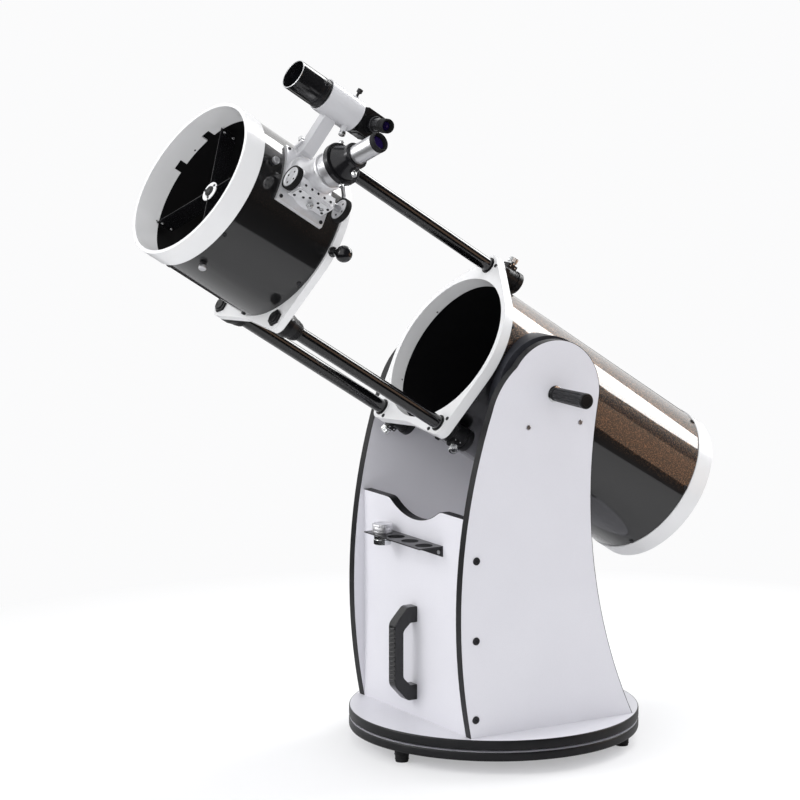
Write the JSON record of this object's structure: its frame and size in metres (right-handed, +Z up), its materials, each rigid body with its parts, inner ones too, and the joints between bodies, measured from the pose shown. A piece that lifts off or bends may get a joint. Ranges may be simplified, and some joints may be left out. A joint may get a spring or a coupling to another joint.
{
  "type": "dobsonian telescope",
  "caption": "Collapsible-truss Newtonian reflecting telescope on a turning rocker-box base, with focuser, eyepieces and right-angle finder.",
  "frame": {"origin": "on the floor, on the azimuth axis", "axes": "+Z up, -Y is where the tube points, +X is the focuser and finder side"},
  "size_m": [0.5834, 1.1324, 1.2557],
  "materials": {
    "melamine": "melamine-faced board, fine leather-like grain",
    "board_edge": "thin black edging strip",
    "black_plastic": "moulded, satin",
    "low_friction_pad": "low-friction plastic, smooth",
    "steel": "turned",
    "black_steel": "black satin",
    "chrome_screw": "polished, knurled",
    "white_ring": "powder coated white, semi-gloss",
    "black_gloss": "gloss with fine metallic flake",
    "rod_black": "gloss black anodised",
    "cast_grey": "cast, satin",
    "optic": "first-surface mirror on ground glass",
    "black_anodised": "satin black anodised",
    "cast_silver": "satin silver",
    "wheel": "silver face, black rubber rim",
    "lens": "coated glass",
    "seal": "matte"
  },
  "bodies": {
    "base": {"ground_board": "melamine", "feet": "black_plastic", "azimuth_pads": "low_friction_pad", "pivot_bolt": "steel"},
    "rocker": {"turntable_board": "melamine", "side_board_right": "melamine", "side_board_left": "melamine", "front_board": "melamine", "board_edging": "board_edge", "base_fasteners": "black_steel", "bearing_posts": "low_friction_pad", "carry_handle": "black_plastic", "eyepiece_rack": "black_steel"},
    "spare_eyepiece": {"spare_eyepiece": "cast_silver"},
    "tube": {"altitude_bearings": "black_plastic", "lower_tube": "black_gloss", "mid_ring": "white_ring", "rear_ring": "white_ring", "lower_tube_screws": "black_steel", "rod_clamps": "black_plastic"},
    "tension_handle_right": {"tension_handle_right": "black_plastic"},
    "tension_handle_left": {"tension_handle_left": "black_plastic"},
    "rod_lock_screw_1": {"rod_lock_screw_1": "chrome_screw"},
    "rod_lock_screw_2": {"rod_lock_screw_2": "chrome_screw"},
    "rod_lock_screw_3": {"rod_lock_screw_3": "chrome_screw"},
    "mirror_springs": {"collimation_springs": "steel"},
    "mirror": {"mirror_cell": "cast_grey", "mirror_clips": "black_plastic", "primary_mirror": "optic"},
    "collimation_knob_1": {"collimation_knob_1": "black_plastic"},
    "collimation_knob_2": {"collimation_knob_2": "black_plastic"},
    "collimation_knob_3": {"collimation_knob_3": "black_plastic"},
    "upper": {"truss_rods": "rod_black", "rod_sockets": "black_plastic", "rod_caps": "black_steel", "upper_ring": "white_ring", "upper_tube": "black_gloss", "front_ring": "white_ring", "upper_tube_screws": "steel", "guide_knob": "black_plastic", "spider": "black_steel", "focuser_base": "cast_silver", "finder_bracket": "white_ring"},
    "secondary": {"secondary_holder": "black_anodised", "secondary_mirror": "optic"},
    "drawtube": {"drawtube": "cast_silver", "eyepiece_adapter": "black_anodised"},
    "focus_knobs": {"focus_knobs": "wheel"},
    "focus_lock_screw": {"focus_lock_screw": "chrome_screw"},
    "adapter_screw": {"adapter_screw": "chrome_screw"},
    "eyepiece": {"eyepiece": "cast_silver", "eyepiece_lens": "lens"},
    "finder_adjuster_1": {"finder_adjuster_1": "chrome_screw"},
    "finder_adjuster_2": {"finder_adjuster_2": "chrome_screw"},
    "finder_shoe_screw": {"finder_shoe_screw": "chrome_screw"},
    "finder_mount": {"finder_o_ring": "seal"},
    "finder": {"finder_tube": "black_anodised", "finder_objective": "lens", "finder_diagonal": "black_anodised"},
    "finder_eyepiece": {"finder_eyepiece": "black_anodised"}
  },
  "joints": [
    {"name": "azimuth", "type": "hinge", "parent": "base", "child": "rocker", "pos_m": [0, 0, 0], "axis": [0, 0, 1], "continuous": true},
    {"name": "spare_eyepiece_lift", "type": "slide", "parent": "rocker", "child": "spare_eyepiece", "axis": [0, 0, 1], "range_m": [0, 0.06]},
    {"name": "altitude", "type": "hinge", "parent": "rocker", "child": "tube", "pos_m": [0, 0, 0.6632], "axis": [-1, 0, 0], "range_deg": [-32.5, 57.5]},
    {"name": "tension_turn_right", "type": "hinge", "parent": "tube", "child": "tension_handle_right", "pos_m": [0.2, 0, 0.6632], "axis": [1, 0, 0], "range_deg": [-90, 180]},
    {"name": "tension_turn_left", "type": "hinge", "parent": "tube", "child": "tension_handle_left", "pos_m": [-0.2, 0, 0.6632], "axis": [-1, 0, 0], "range_deg": [-90, 180]},
    {"name": "rod_lock_turn_1", "type": "hinge", "parent": "tube", "child": "rod_lock_screw_1", "pos_m": [0, 0.02856, 0.86436], "axis": [0, 0.5373, 0.8434], "range_deg": [0, 360]},
    {"name": "rod_lock_turn_2", "type": "hinge", "parent": "tube", "child": "rod_lock_screw_2", "pos_m": [0.10425, -0.15296, 0.57944], "axis": [0.5635, -0.4439, -0.6967], "range_deg": [0, 360]},
    {"name": "rod_lock_turn_3", "type": "hinge", "parent": "tube", "child": "rod_lock_screw_3", "pos_m": [-0.10795, -0.15157, 0.58163], "axis": [-0.5835, -0.4363, -0.6849], "range_deg": [0, 360]},
    {"name": "mirror_tilt_1", "type": "hinge", "parent": "tube", "child": "mirror_springs", "pos_m": [0, 0.34157, 0.44559], "axis": [1, 0, 0], "range_deg": [-1, 1], "stiffness_Nm_per_rad": 200, "deforming": ["collimation_springs"]},
    {"name": "mirror_tilt_2", "type": "hinge", "parent": "mirror_springs", "child": "mirror", "pos_m": [0, 0.34157, 0.44559], "axis": [0, 0.5373, 0.8434], "range_deg": [-1, 1], "stiffness_Nm_per_rad": 200},
    {"name": "collimation_turn_1", "type": "hinge", "parent": "tube", "child": "collimation_knob_1", "pos_m": [0.0866, 0.38109, 0.4797], "axis": [0, -0.8434, 0.5373], "range_deg": [-360, 360]},
    {"name": "collimation_turn_2", "type": "hinge", "parent": "tube", "child": "collimation_knob_2", "pos_m": [-0.0866, 0.38109, 0.4797], "axis": [0, -0.8434, 0.5373], "range_deg": [-360, 360]},
    {"name": "collimation_turn_3", "type": "hinge", "parent": "tube", "child": "collimation_knob_3", "pos_m": [0, 0.30049, 0.35319], "axis": [0, -0.8434, 0.5373], "range_deg": [-360, 360]},
    {"name": "truss_slide", "type": "slide", "parent": "tube", "child": "upper", "axis": [0, -0.8434, 0.5373], "range_m": [-0.33, 0]},
    {"name": "secondary_turn", "type": "hinge", "parent": "upper", "child": "secondary", "pos_m": [0, -0.53977, 1.00707], "axis": [0, -0.8434, 0.5373], "range_deg": [-15, 15]},
    {"name": "drawtube_slide", "type": "slide", "parent": "upper", "child": "drawtube", "axis": [0.8526, 0.2807, 0.4407], "range_m": [-0.02, 0.025]},
    {"name": "focus_turn", "type": "hinge", "parent": "upper", "child": "focus_knobs", "pos_m": [0.16511, -0.4685, 1.03706], "axis": [0, 0.8434, -0.5373], "range_deg": [-384, 479]},
    {"name": "focus_lock_turn", "type": "hinge", "parent": "upper", "child": "focus_lock_screw", "pos_m": [0.16766, -0.47896, 1.02063], "axis": [-0.5225, 0.4581, 0.7191], "range_deg": [0, 360]},
    {"name": "adapter_screw_turn", "type": "hinge", "parent": "drawtube", "child": "adapter_screw", "pos_m": [0.21998, -0.43023, 1.09712], "axis": [0.4845, -0.1088, -0.868], "range_deg": [0, 360]},
    {"name": "eyepiece_lift", "type": "slide", "parent": "drawtube", "child": "eyepiece", "axis": [0.8526, 0.2807, 0.4407], "range_m": [0, 0.03]},
    {"name": "finder_adjust_turn_1", "type": "hinge", "parent": "upper", "child": "finder_adjuster_1", "pos_m": [0.11009, -0.3551, 1.19086], "axis": [0.0698, 0.536, 0.8413], "range_deg": [0, 360]},
    {"name": "finder_adjust_turn_2", "type": "hinge", "parent": "upper", "child": "finder_adjuster_2", "pos_m": [0.07807, -0.37006, 1.16738], "axis": [-0.9976, 0.0375, 0.0588], "range_deg": [0, 360]},
    {"name": "finder_shoe_turn", "type": "hinge", "parent": "upper", "child": "finder_shoe_screw", "pos_m": [0.09552, -0.45058, 1.10613], "axis": [-0.809, 0.3158, 0.4957], "range_deg": [0, 360]},
    {"name": "finder_tilt_1", "type": "hinge", "parent": "upper", "child": "finder_mount", "pos_m": [0.108, -0.41672, 1.19463], "axis": [1, 0, 0], "range_deg": [-1, 1], "stiffness_Nm_per_rad": 20},
    {"name": "finder_tilt_2", "type": "hinge", "parent": "finder_mount", "child": "finder", "pos_m": [0.108, -0.41672, 1.19463], "axis": [0, 0.5373, 0.8434], "range_deg": [-1, 1], "stiffness_Nm_per_rad": 20},
    {"name": "finder_focus", "type": "slide", "parent": "finder", "child": "finder_eyepiece", "axis": [1, 0, 0], "range_m": [0, 0.008]}
  ],
  "couplings": [
    {"joint": "focus_turn", "follows": "drawtube_slide", "rad_per_m": 333.33}
  ]
}
